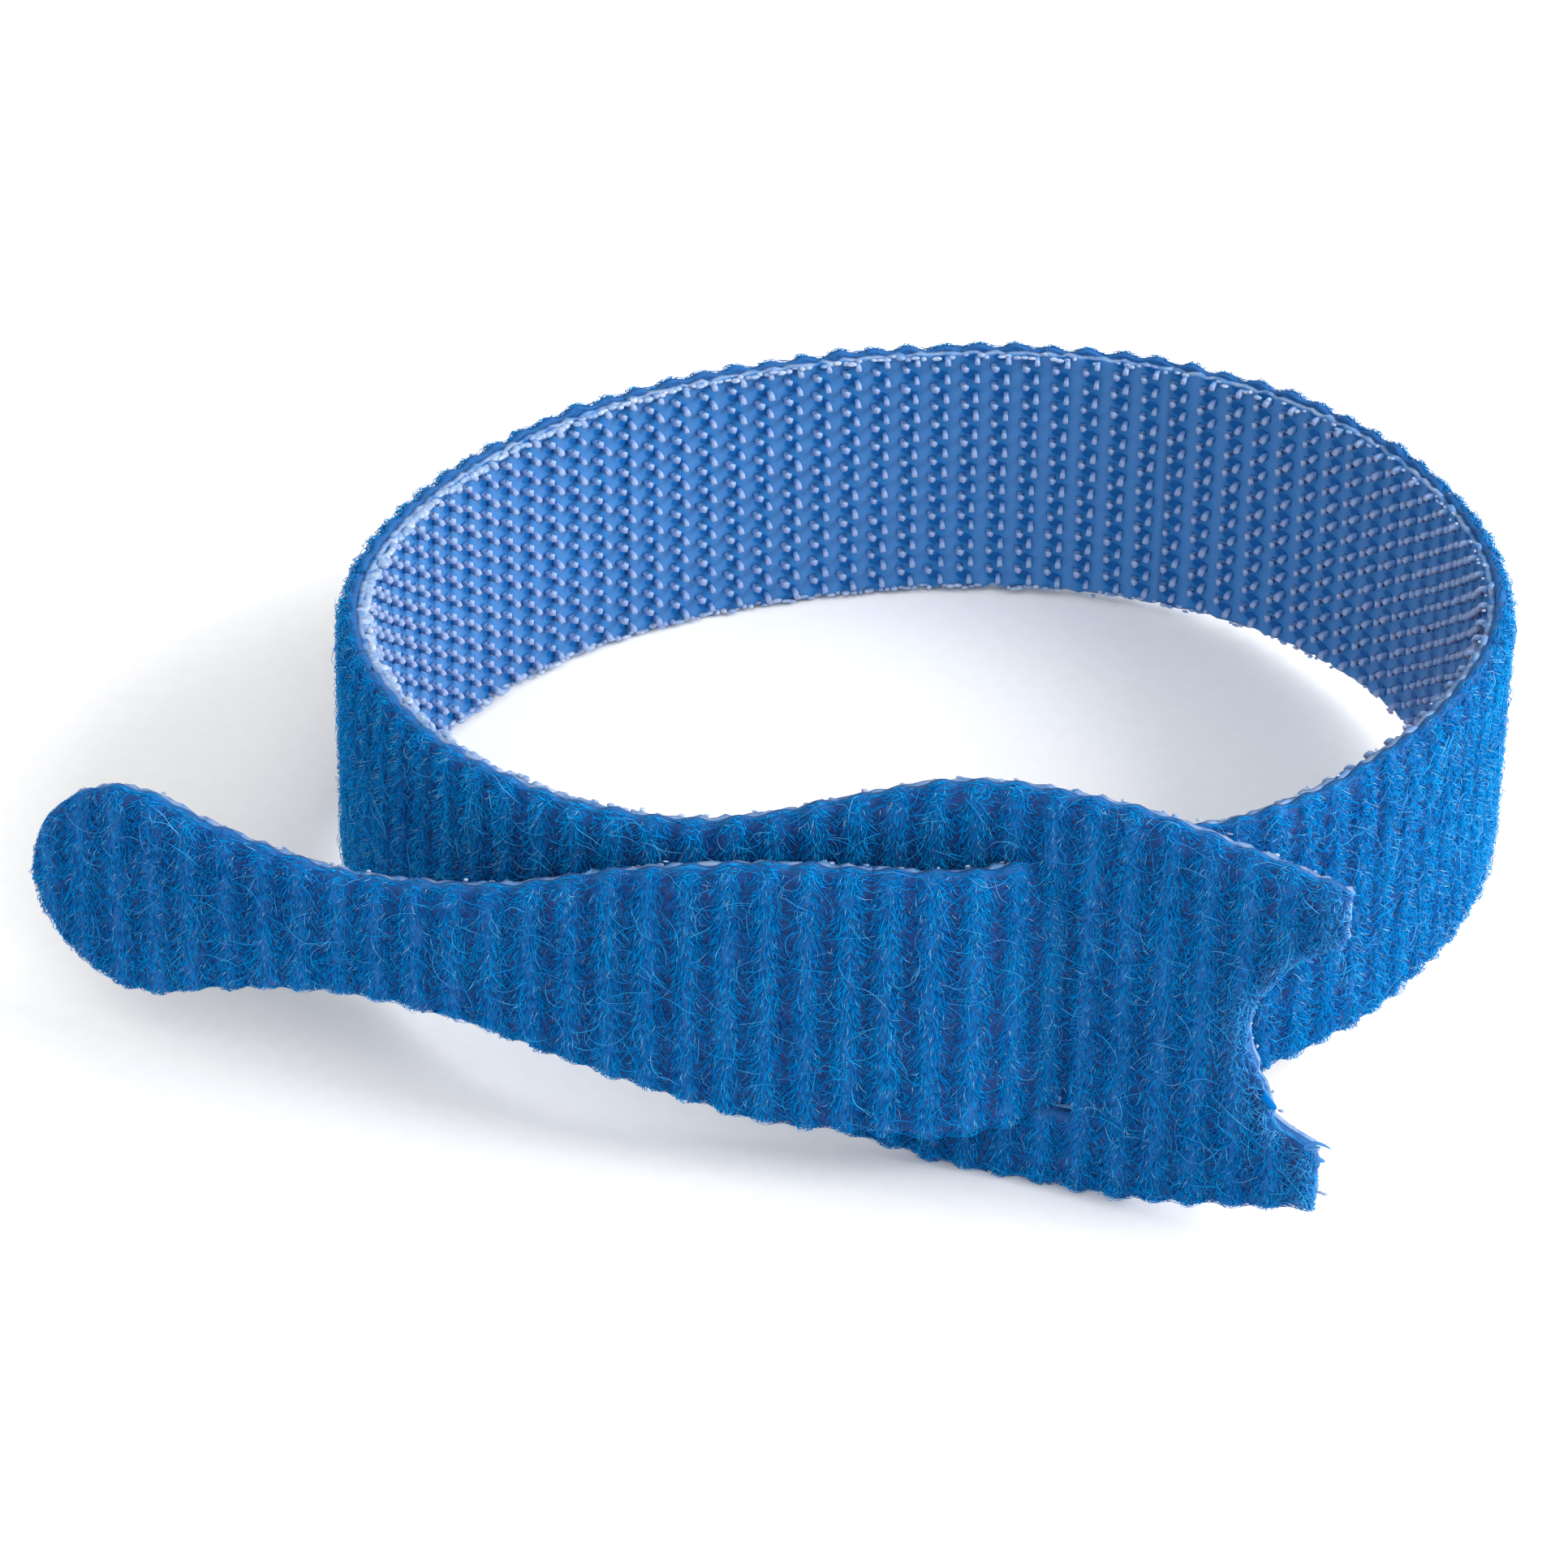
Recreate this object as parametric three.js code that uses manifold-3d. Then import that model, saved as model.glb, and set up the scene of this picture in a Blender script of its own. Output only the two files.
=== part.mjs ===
// A reusable strap tie: one band of back-to-back hook-and-loop tape with a slotted head and a
// tapered tail, closed into a ring. The tail has been passed through the slot from inside and
// lies on the outside of the head. Millimetres, +Z up, standing on its lower edges.
//
// The band is described flat first: u runs along it from the head's cut end (0) to the tip of
// the tail, v runs across it (+ is up), and w goes through it, from the tips of the hooks
// (inside the ring) to the top of the pile (outside). stationAt bends that flat band onto its path.

import * as THREE from 'three';
import { mergeVertices } from 'three/addons/utils/BufferGeometryUtils.js';
import Module from 'manifold-3d';

// Overall sizes
const strapLength = 201.2;
const bandWidth = 12.7; // along the ring

// Layers, measured outwards from the flat inner face of the hook tape
const hookTips = -0.3;
const tapeBack = 0.25;
const pileBack = 0.35;
const pileTop = 1.4;
const pileTopInSlot = 0.95; // the pile is crushed where the band squeezes through the slot

// Slot, notch and spaces
const slotEnd = 15.7; // u of the slot's edge on the neck side
const slotHeight = 13.5;
const notchRadius = 4.6;
const notchCentre = -0.5; // u
const lowerEarEnd = 1.0; // u; the upper ear reaches u = 0
const pieceGap = 0.3; // between two lengths of the same layer
const hingeGap = 0.5; // the same, where the band bends
const stationStep = 0.8;

// The band's path seen from above: [u, heading in degrees], and the place of its cut end
const pathStart = [22.9, -23.3];
const headings = [
  [0, 161], [11, 161], [19, 174], [26, 173], [33, 152], [40, 128], [48, 105], [56, 76],
  [66, 53], [78, 26], [90, 6], [102, -24], [112, -55], [122, -80], [132, -111], [142, -132],
  [148, -147], [151, -164], [154, -162], [157, -150], [160, -160], [163, -182], [167, -187],
  [172, -191], [178, -192], [186, -196], [194, -199], [strapLength, -205],
];

// Full width along the band: [u, width]
const widths = [
  [0, 15.2], [4, 17.1], [8, 18.6], [12, 19.1], [15, 18.9], [18, 18], [21, 16.2], [24, 14.3],
  [27, 13.1], [30, bandWidth], [100, bandWidth], [166, bandWidth], [169, 12.4], [172.5, 11.3], [176, 9.6],
  [180, 7.2], [184, 6], [187, 5.85], [190, 6.4], [193.5, 7.9], [196.3, 8.9],
];
const tabRadius = 4.9; // rounds off the tip of the tail
const tabCentre = strapLength - tabRadius;

// How the ring leans when it stands on three points of its lower edges
const leanBack = -3.88;
const leanLeft = -1.71;
const restShift = [-0.26, -0.54, 7.953];

// A smooth curve through hand-chosen [distance, value] pairs
function smoothValue(knots, at) {
  let k = 0;
  while (k < knots.length - 2 && at > knots[k + 1][0]) k += 1;
  const slope = (i) => {
    const before = knots[Math.max(i - 1, 0)];
    const after = knots[Math.min(i + 1, knots.length - 1)];
    return (after[1] - before[1]) / (after[0] - before[0]);
  };
  const span = knots[k + 1][0] - knots[k][0];
  const t = Math.min(Math.max((at - knots[k][0]) / span, 0), 1);
  const [t2, t3] = [t * t, t * t * t];
  return (2 * t3 - 3 * t2 + 1) * knots[k][1] + (t3 - 2 * t2 + t) * span * slope(k)
    + (3 * t2 - 2 * t3) * knots[k + 1][1] + (t3 - t2) * span * slope(k + 1);
}

function widthAt(u) {
  if (u > tabCentre) return 2 * Math.sqrt(Math.max(tabRadius ** 2 - (u - tabCentre) ** 2, 0.04));
  return smoothValue(widths, u);
}

// Walks the path in short steps and keeps the point and the heading at each
const pathStep = 0.05;
const pathPoints = [];
for (let n = 0, x = pathStart[0], y = pathStart[1]; n * pathStep <= strapLength + pathStep; n += 1) {
  const heading = THREE.MathUtils.degToRad(smoothValue(headings, n * pathStep));
  pathPoints.push({ x, y, heading });
  x += Math.cos(heading) * pathStep;
  y += Math.sin(heading) * pathStep;
}

// The path's point, and the outward direction there, at a distance u
function stationAt(u) {
  const { x, y, heading } = pathPoints[Math.round(u / pathStep)];
  return { x, y, outX: -Math.sin(heading), outY: Math.cos(heading) };
}

function place(u, v, w) {
  const { x, y, outX, outY } = stationAt(u);
  return new THREE.Vector3(x + outX * w, y + outY * w, v);
}

// Turns rings of four corners, one for each station, into one closed body
function closedBody(rings) {
  const corners = 4;
  const positions = rings.flat().flatMap((corner) => [corner.x, corner.y, corner.z]);
  const faces = [];
  for (let ring = 0; ring < rings.length - 1; ring += 1) {
    for (let corner = 0; corner < corners; corner += 1) {
      const a = ring * corners + corner;
      const b = ring * corners + (corner + 1) % corners;
      faces.push(a, b, b + corners, a, b + corners, a + corners);
    }
  }
  const last = (rings.length - 1) * corners;
  faces.push(0, 3, 2, 0, 2, 1, last, last + 1, last + 2, last, last + 2, last + 3);
  const geometry = new THREE.BufferGeometry();
  geometry.setAttribute('position', new THREE.Float32BufferAttribute(positions, 3));
  geometry.setIndex(faces);
  return geometry;
}

// A length of one layer, bent onto the path
function layerLength(from, to, inner, outer) {
  const steps = Math.round((to - from) / stationStep);
  const rings = [];
  for (let n = 0; n <= steps; n += 1) {
    const u = from + (to - from) * n / steps;
    const half = widthAt(u) / 2;
    rings.push([
      place(u, -half, inner), place(u, -half, outer), place(u, half, outer), place(u, half, inner),
    ]);
  }
  return closedBody(rings);
}

// Booleans for the slot and for the notch
const wasm = await Module();
wasm.setup();

function asSolid(geometry) {
  const bare = geometry.clone();
  bare.deleteAttribute('normal');
  bare.deleteAttribute('uv');
  const merged = mergeVertices(bare, 1e-4);
  return new wasm.Manifold(new wasm.Mesh({
    numProp: 3,
    vertProperties: new Float32Array(merged.attributes.position.array),
    triVerts: new Uint32Array(merged.index.array),
  }));
}

function asGeometry(solid) {
  const mesh = solid.getMesh();
  const geometry = new THREE.BufferGeometry();
  geometry.setAttribute('position', new THREE.Float32BufferAttribute(mesh.vertProperties, 3));
  geometry.setIndex(Array.from(mesh.triVerts));
  return geometry;
}

// A flat outline in u and v, cut straight through the band where the band is straight
function cutThrough(geometry, outline, u) {
  const reach = 4;
  const cutter = new THREE.ExtrudeGeometry(
    outline, { depth: 2 * reach, bevelEnabled: false, curveSegments: 16 },
  );
  const { x, y, outX, outY } = stationAt(u);
  const frame = new THREE.Matrix4().makeBasis(
    new THREE.Vector3(outY, -outX, 0), new THREE.Vector3(0, 0, 1), new THREE.Vector3(-outX, -outY, 0),
  );
  cutter.translate(0, 0, -reach);
  cutter.applyMatrix4(frame.setPosition(x, y, 0));
  return asGeometry(asSolid(geometry).subtract(asSolid(cutter)));
}

// The cut end is an arc, the shape of the next strap's tab, between two ears of unequal length
function notched(geometry) {
  const outline = new THREE.Shape();
  const beyond = 12;
  const earCorner = (earEnd) => Math.acos((earEnd - notchCentre) / notchRadius);
  outline.moveTo(-beyond, beyond);
  outline.lineTo(0, beyond);
  outline.absarc(notchCentre, 0, notchRadius, earCorner(0), -earCorner(lowerEarEnd), true);
  outline.lineTo(lowerEarEnd, -beyond);
  outline.lineTo(-beyond, -beyond);
  return cutThrough(geometry, outline, 0);
}

// The slot opens into the space that the end flap bends across
function slotted(geometry, from) {
  const outline = new THREE.Shape();
  const corner = 1;
  const half = slotHeight / 2;
  const beyond = 2;
  const end = slotEnd - from;
  outline.moveTo(-beyond, -half);
  outline.lineTo(end - corner, -half);
  outline.absarc(end - corner, corner - half, corner, -Math.PI / 2, 0, false);
  outline.absarc(end - corner, half - corner, corner, 0, Math.PI / 2, false);
  outline.lineTo(-beyond, half);
  return cutThrough(geometry, outline, from);
}

// The lengths the band is divided into, from the cut end to the tip: name, start, end, and
// the space to the next one
const lengths = [
  { name: 'end_flap', from: 0, to: 11, shape: notched },
  { name: 'slotted_head', from: 11 + hingeGap, to: 21, shape: (layer) => slotted(layer, 11 + hingeGap) },
  { name: 'neck', from: 21 + pieceGap, to: 32 },
  { name: 'ring_front_left', from: 32 + pieceGap, to: 46 },
  { name: 'ring_left', from: 46 + pieceGap, to: 62 },
  { name: 'ring_back_left', from: 62 + pieceGap, to: 80 },
  { name: 'ring_back', from: 80 + pieceGap, to: 98 },
  { name: 'ring_back_right', from: 98 + pieceGap, to: 114 },
  { name: 'ring_right', from: 114 + pieceGap, to: 130 },
  { name: 'ring_front_right', from: 130 + pieceGap, to: 147 },
  { name: 'slot_pass', from: 147 + pieceGap, to: 161, pileTop: pileTopInSlot },
  { name: 'tail_root', from: 161 + hingeGap, to: 171.5 },
  { name: 'tail_taper', from: 171.5 + hingeGap, to: 181 },
  { name: 'tail_neck', from: 181 + hingeGap, to: 190 },
  { name: 'pull_tab', from: 190 + hingeGap, to: strapLength },
];

// Materials: dyed nylon loop pile, and clear-cast moulded hook tape over it
const loopPile = new THREE.MeshStandardMaterial({ color: 0x1262b3, roughness: 0.95, metalness: 0 });
const hookTape = new THREE.MeshStandardMaterial({ color: 0x6f93cf, roughness: 0.45, metalness: 0 });

const band = new THREE.Group();
function addLayer(name, length, inner, outer, material) {
  const bent = layerLength(length.from, length.to, inner, outer);
  const mesh = new THREE.Mesh(length.shape ? length.shape(bent) : bent, material);
  mesh.name = name;
  band.add(mesh);
}
for (const length of lengths) {
  addLayer(`${length.name}_hook_tape`, length, hookTips, tapeBack, hookTape);
  addLayer(`${length.name}_loop_pile`, length, pileBack, length.pileTop ?? pileTop, loopPile);
}

// Stand the ring on its lower edges, centred over the origin
band.rotation.set(THREE.MathUtils.degToRad(leanBack), THREE.MathUtils.degToRad(leanLeft), 0);
band.position.set(...restShift);

const strapTie = new THREE.Group();
strapTie.add(band);

export default strapTie;
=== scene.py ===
# A blue hook-and-loop strap tie closed into a ring: brushed loop pile outside, moulded hooks inside.
# The band is worked flat in millimetres, then bent onto its route, which is in metres like the frame.
import math

import bmesh
import bpy
import numpy as np
from mathutils import Matrix, Vector


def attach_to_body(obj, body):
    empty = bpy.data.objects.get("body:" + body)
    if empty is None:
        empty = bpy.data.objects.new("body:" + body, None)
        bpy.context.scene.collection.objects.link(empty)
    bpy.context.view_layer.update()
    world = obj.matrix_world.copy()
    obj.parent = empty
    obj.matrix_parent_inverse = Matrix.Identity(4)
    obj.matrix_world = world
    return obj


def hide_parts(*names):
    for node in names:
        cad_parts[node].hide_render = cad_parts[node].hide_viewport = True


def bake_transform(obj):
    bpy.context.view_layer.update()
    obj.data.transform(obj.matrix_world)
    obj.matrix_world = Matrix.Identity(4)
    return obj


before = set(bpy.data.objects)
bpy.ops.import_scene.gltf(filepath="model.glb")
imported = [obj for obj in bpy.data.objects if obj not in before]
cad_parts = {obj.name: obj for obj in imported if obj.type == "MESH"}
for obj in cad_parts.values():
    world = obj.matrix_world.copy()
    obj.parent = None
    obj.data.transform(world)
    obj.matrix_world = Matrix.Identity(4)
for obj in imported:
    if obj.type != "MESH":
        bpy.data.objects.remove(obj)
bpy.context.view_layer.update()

mm = 0.001
chance = np.random.default_rng(11)

# Camera: a long lens, looking down on the front of the ring
lens = {
    "place": (-4.23, -212.32, 158.65),  # mm
    "turn": (54.051, -2.549, 0.727),  # degrees
    "focalLength": 136.4,
    "sensor": 36.0,
}


def makeCamera():
    data = bpy.data.cameras.new("camera")
    data.lens = lens["focalLength"]
    data.sensor_width = lens["sensor"]
    data.clip_start = 0.01
    data.clip_end = 10
    camera = bpy.data.objects.new("camera", data)
    camera.location = Vector(lens["place"]) * mm
    camera.rotation_euler = [math.radians(angle) for angle in lens["turn"]]
    bpy.context.scene.collection.objects.link(camera)
    bpy.context.scene.camera = camera


makeCamera()
print("camera in place")

# The band as the frame has it: [distance along it, heading] and [distance, full width]
band = {
    "length": 201.2,
    "start": (22.9, -23.3),
    "headings": [
        (0, 161), (11, 161), (19, 174), (26, 173), (33, 152), (40, 128), (48, 105), (56, 76),
        (66, 53), (78, 26), (90, 6), (102, -24), (112, -55), (122, -80), (132, -111), (142, -132),
        (148, -147), (151, -164), (154, -162), (157, -150), (160, -160), (163, -182), (167, -187),
        (172, -191), (178, -192), (186, -196), (194, -199), (201.2, -205),
    ],
    "widths": [
        (0, 15.2), (4, 17.1), (8, 18.6), (12, 19.1), (15, 18.9), (18, 18), (21, 16.2), (24, 14.3),
        (27, 13.1), (30, 12.7), (100, 12.7), (166, 12.7), (169, 12.4), (172.5, 11.3), (176, 9.6),
        (180, 7.2), (184, 6), (187, 5.85), (190, 6.5), (193.5, 8.3), (195, 9.4), (196.3, 9.8),
        (199, 9.8),
    ],
    "tabRadius": 4.9,
    "flapEnd": 11.0,  # where the slot starts
    "slotEnd": 15.7,
    "slotCorner": 13.0,  # the slot's far edge bows in at its corners
    "slotHalf": 5.85,
    "cutEnd": [  # where the end is cut, from the bottom of the lower ear to the top of the upper one
        (-9, 0.6), (-5.3, 0.5), (-4.8, 0.8), (-4.4, 1.8), (-4.0, 2.4), (-3.0, 2.7), (-1.9, 3.2), (0, 3.75),
        (1.1, 3.65), (2.9, 2.8), (4.2, 1.8), (4.8, 0.9), (5.2, 0.1), (5.8, 0), (9, 0),
    ],
    "lean": (-3.88, -1.71),  # degrees about X, then Y
    "shift": (-0.26, -0.54, 7.953),
}
tabCentre = band["length"] - band["tabRadius"]
slotLength = band["slotEnd"] - band["flapEnd"]


def smoothValue(knots, at):
    along, value = np.array(knots, float).T
    before = np.clip(np.arange(len(along)) - 1, 0, None)
    after = np.clip(np.arange(len(along)) + 1, None, len(along) - 1)
    slope = (value[after] - value[before]) / (along[after] - along[before])
    k = np.clip(np.searchsorted(along, at) - 1, 0, len(along) - 2)
    span = along[k + 1] - along[k]
    t = np.clip((at - along[k]) / span, 0, 1)
    rise = 3 * t**2 - 2 * t**3
    lead = (t**3 - 2 * t**2 + t) * slope[k] + (t**3 - t**2) * slope[k + 1]
    return value[k] * (1 - rise) + value[k + 1] * rise + span * lead


def halfWidth(u):
    tab = np.sqrt(np.clip(band["tabRadius"] ** 2 - (u - tabCentre) ** 2, 0.01, None))
    return np.where(u > tabCentre, tab, smoothValue(band["widths"], u) / 2)


routeStep = 0.05
stations = np.arange(-4, band["length"] + 4, routeStep)
heading = np.radians(smoothValue(band["headings"], stations))
routeX = np.cumsum(np.cos(heading)) * routeStep
routeY = np.cumsum(np.sin(heading)) * routeStep
routeX += band["start"][0] - np.interp(0, stations, routeX)
routeY += band["start"][1] - np.interp(0, stations, routeY)
leanX, leanY = (math.radians(angle) for angle in band["lean"])
lean = np.array(Matrix.Rotation(leanX, 3, "X") @ Matrix.Rotation(leanY, 3, "Y"))


# Flat places (u along, v up across, w outwards through the band) to places in the frame
def bend(flat):
    u, v, w = np.asarray(flat, float).reshape(-1, 3).T
    turn = np.interp(u, stations, heading)
    x = np.interp(u, stations, routeX) - np.sin(turn) * w
    y = np.interp(u, stations, routeY) + np.cos(turn) * w
    upright = np.stack([x, y, v], axis=1)
    return (upright @ lean.T + band["shift"]) * mm


# The cut end: half of a slot, where the die cut this strap from the next, between two ears
def cutEnd(v):
    return smoothValue(band["cutEnd"], v)


# The slot's far edge, with the share of the slot's height as 0 at its middle and 1 at its corners
def slotEdge(share):
    return band["slotEnd"] + (band["slotCorner"] - band["slotEnd"]) * np.minimum(share, 1) ** 3


def inBand(u, v, margin=0.0):
    share = abs(v) / band["slotHalf"]
    inSlot = (share < 1) & (u > band["flapEnd"] - margin) & (u < slotEdge(share) + margin)
    return (u > cutEnd(v) + margin) & (abs(v) < halfWidth(u) - margin) & ~inSlot


# Lengths of the band: name, end in ribs, the body or bodies it moves with, the u where they meet,
# and the nodes it stands for
ribPitch = 1.65  # mm, from crest to crest of the ribs of pile
lengths = [
    {"name": "head", "ribs": 13, "bodies": ("end_flap", "ring"), "hinge": 11.25,
     "nodes": ["end_flap", "slotted_head"]},
    {"name": "neck", "ribs": 29, "bodies": ("ring",), "nodes": ["neck", "ring_front_left"]},
    {"name": "left", "ribs": 45, "bodies": ("ring",), "nodes": ["ring_left", "ring_back_left"]},
    {"name": "back", "ribs": 61, "bodies": ("ring",), "nodes": ["ring_back"]},
    {"name": "right", "ribs": 77, "bodies": ("ring",), "nodes": ["ring_back_right", "ring_right"]},
    {"name": "front", "ribs": 91, "bodies": ("ring",), "nodes": ["ring_front_right"]},
    {"name": "slot_pass", "ribs": 100, "bodies": ("ring", "tail_root"), "hinge": 161.25,
     "nodes": ["slot_pass", "tail_root"]},
    {"name": "tail_taper", "ribs": 107, "bodies": ("tail_root", "tail_taper"), "hinge": 171.75,
     "nodes": ["tail_taper"]},
    {"name": "tail_neck", "ribs": 113, "bodies": ("tail_taper", "tail_neck"), "hinge": 181.25,
     "nodes": ["tail_neck"]},
    {"name": "pull_tab", "ribs": 122, "bodies": ("tail_neck", "pull_tab"), "hinge": 190.25,
     "nodes": ["pull_tab"]},
]
ribStart = 0
for length in lengths:
    length["from"] = ribStart * ribPitch
    length["to"] = min(length["ribs"] * ribPitch, band["length"])
    ribStart = length["ribs"]


# Hangs a finished piece on its body; a piece that spans two bodies only has its placement baked into its
# mesh
def attach(piece, length):
    bodies = length["bodies"]
    if len(bodies) == 1:
        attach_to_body(piece, bodies[0])
        return
    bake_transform(piece)


# 0 in the valleys between the ribs of pile, 1 on their crests
def ribCrest(u):
    return 0.5 - 0.5 * np.cos(2 * math.pi * u / ribPitch)


# The edge of the pile swells at each rib, and hardly at all round the end of the tab
def scallopedHalf(u):
    swell = 0.2 * ribCrest(u) + 0.04 * np.sin(u * 0.9) + 0.03 * np.sin(u * 2.3)
    return halfWidth(u) - 0.05 + swell * np.clip((band["length"] - u) / band["tabRadius"], 0.1, 1)


# Handling has brushed the ribs partly out at both ends of the band
def ribbing(u):
    return smoothValue([(0, 0.5), (11, 0.6), (24, 1), (160, 1), (175, 0.85), (188, 0.5), (201, 0.4)], u)


def brushedCrest(u):
    return 0.5 + (ribCrest(u) - 0.5) * ribbing(u)


# The pile is crushed where the band squeezes through the slot
def pileStand(u):
    return smoothValue([(0, 1), (148, 1), (152, 0.62), (158, 0.66), (163, 1), (200, 1)], u)


def colour(hexCode):
    parts = [int(hexCode[i:i + 2], 16) / 255 for i in (1, 3, 5)]
    linear = [c / 12.92 if c <= 0.04045 else ((c + 0.055) / 1.055) ** 2.4 for c in parts]
    return (*linear, 1)


# Adds a node; a socket takes a value or another node's output
def addNode(tree, kind, settings, sockets):
    node = tree.nodes.new("ShaderNode" + kind)
    for name, value in settings.items():
        setattr(node, name, value)
    for socket, source in sockets.items():
        if isinstance(source, bpy.types.NodeSocket):
            tree.links.new(source, node.inputs[socket])
        else:
            node.inputs[socket].default_value = source
    return node


def newMaterial(name, **settings):
    material = bpy.data.materials.new(name)
    material.use_nodes = True
    shader = material.node_tree.nodes["Principled BSDF"]
    for socket, value in settings.items():
        shader.inputs[socket.replace("_", " ")].default_value = value
    return material, material.node_tree, shader


# Brushed nylon loops: solution-dyed filament, satin, so single fibres glint and the rest is soft.
# The dye is the same all over; the darker root colour is painted shade where the roots sit, and the lighter
# tip colour is painted light that the tips catch.
fibreLook = {
    "root": "#053C8C",
    "body": "#007CC8",
    "tip": "#04A6E6",
    "paleWearAndGlint": "#9CD8F6",  # worn ends, and painted glints on pulled loops and single fibres
    "patch": 3.0,  # mm across the slow changes of tone
}


def brushedNylonPile():
    material, tree, shader = newMaterial("brushed nylon loop pile", Roughness=0.5)
    shader.inputs["Specular IOR Level"].default_value = 0.05
    shader.inputs["Specular Tint"].default_value = colour("#8FC8FF")
    tone = addNode(tree, "Attribute", {"attribute_name": "tone"}, {})
    wearAndGlint = addNode(tree, "Attribute", {"attribute_name": "wearAndGlint"}, {})
    coords = addNode(tree, "TexCoord", {}, {})
    patches = addNode(tree, "TexNoise", {}, {
        "Vector": coords.outputs["Object"],
        "Scale": 1000 / fibreLook["patch"],
        "Detail": 2,
    })
    shaded = addNode(tree, "Math", {"operation": "MULTIPLY_ADD"}, {
        0: patches.outputs["Factor" if "Factor" in patches.outputs else "Fac"],
        1: 0.5,
        2: -0.25,
    })
    level = addNode(tree, "Math", {"operation": "ADD", "use_clamp": True}, {
        0: tone.outputs["Fac"],
        1: shaded.outputs[0],
    })
    lower = addNode(tree, "MapRange", {}, {0: level.outputs[0], 1: 0, 2: 0.5})
    upper = addNode(tree, "MapRange", {}, {0: level.outputs[0], 1: 0.5, 2: 1})
    deep = addNode(tree, "Mix", {"data_type": "RGBA"}, {
        0: lower.outputs[0],
        6: colour(fibreLook["root"]),
        7: colour(fibreLook["body"]),
    })
    lit = addNode(tree, "Mix", {"data_type": "RGBA"}, {
        0: upper.outputs[0],
        6: deep.outputs[2],
        7: colour(fibreLook["tip"]),
    })
    # The pale mix: worn ends by the cut, and painted glints.
    ended = addNode(tree, "Mix", {"data_type": "RGBA"}, {
        0: wearAndGlint.outputs["Fac"],
        6: lit.outputs[2],
        7: colour(fibreLook["paleWearAndGlint"]),
    })
    tree.links.new(ended.outputs[2], shader.inputs["Base Color"])
    return material


# Warp-knitted nylon ground: close stitches along the ribs, painted dark for the shade the pile casts on it,
# darkest in the valleys between the ribs
groundLook = {
    "valley": "#0A448E",
    "crest": "#0070C2",
    "edge": "#0062AC",  # out of the pile's shade
    "stitch": 0.28,  # mm from stitch to stitch
}


def knittedNylonGround():
    material, tree, shader = newMaterial("knitted nylon ground", Roughness=0.85)
    flat = addNode(tree, "Attribute", {"attribute_name": "flat"}, {})
    split = addNode(tree, "SeparateXYZ", {}, {"Vector": flat.outputs["Vector"]})
    turn = addNode(tree, "Math", {"operation": "MULTIPLY"}, {
        0: split.outputs["X"],
        1: 2 * math.pi / ribPitch,
    })
    wave = addNode(tree, "Math", {"operation": "COSINE"}, {0: turn.outputs[0]})
    crest = addNode(tree, "MapRange", {}, {0: wave.outputs[0], 1: 0.8, 2: -1.0})
    stitches = addNode(tree, "TexNoise", {}, {
        "Vector": flat.outputs["Vector"],
        "Scale": 1 / groundLook["stitch"],
        "Detail": 3,
    })
    mixed = addNode(tree, "Mix", {"data_type": "RGBA"}, {
        0: crest.outputs[0],
        6: colour(groundLook["valley"]),
        7: colour(groundLook["crest"]),
    })
    rim = addNode(tree, "Attribute", {"attribute_name": "rim"}, {})
    edged = addNode(tree, "Mix", {"data_type": "RGBA"}, {
        0: rim.outputs["Fac"],
        6: mixed.outputs[2],
        7: colour(groundLook["edge"]),
    })
    speckled = addNode(tree, "Mix", {"data_type": "RGBA", "blend_type": "MULTIPLY"}, {
        0: 0.65,
        6: edged.outputs[2],
        7: stitches.outputs[0],
    })
    raised = addNode(tree, "Bump", {}, {
        "Strength": 0.6,
        "Distance": 0.15 * mm,
        "Height": stitches.outputs[0],
    })
    tree.links.new(speckled.outputs[2], shader.inputs["Base Color"])
    tree.links.new(raised.outputs["Normal"], shader.inputs["Normal"])
    return material


# Hook tape: clear nylon moulded over the blue band. It looks milky beside each pair of columns, less so
# between them, and a darker, saturated blue in small patches beside the hooks.
tapeLook = {
    "between": "#246CAA",
    "milky": "#447AB4",
    "darkBesideHooks": "#005598",
    "cut": "#7F97B9",  # cut edges scatter light and lose the blue
    "grain": 0.5,  # mm across the flow marks of the moulding
}
hooks = {
    "pairPitch": 1.42,  # mm along the band, from one double column to the next
    "pairStart": 0.35,
    "columnGap": 0.42,  # mm between the two columns of a pair
    "facing": (0, -90),  # degrees: the first column curls along the band, the second down it
    "rowPitch": 0.98,  # mm across the band
    "rowStarts": (-0.25, 0.0),  # share of a pitch that each column is shifted by
    "height": 0.38,
    "stemWidth": 0.25,
    "stemThickness": 0.2,
    "crookRadius": 0.1,
    "margin": 0.42,  # mm of film left bare along every edge
}


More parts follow.
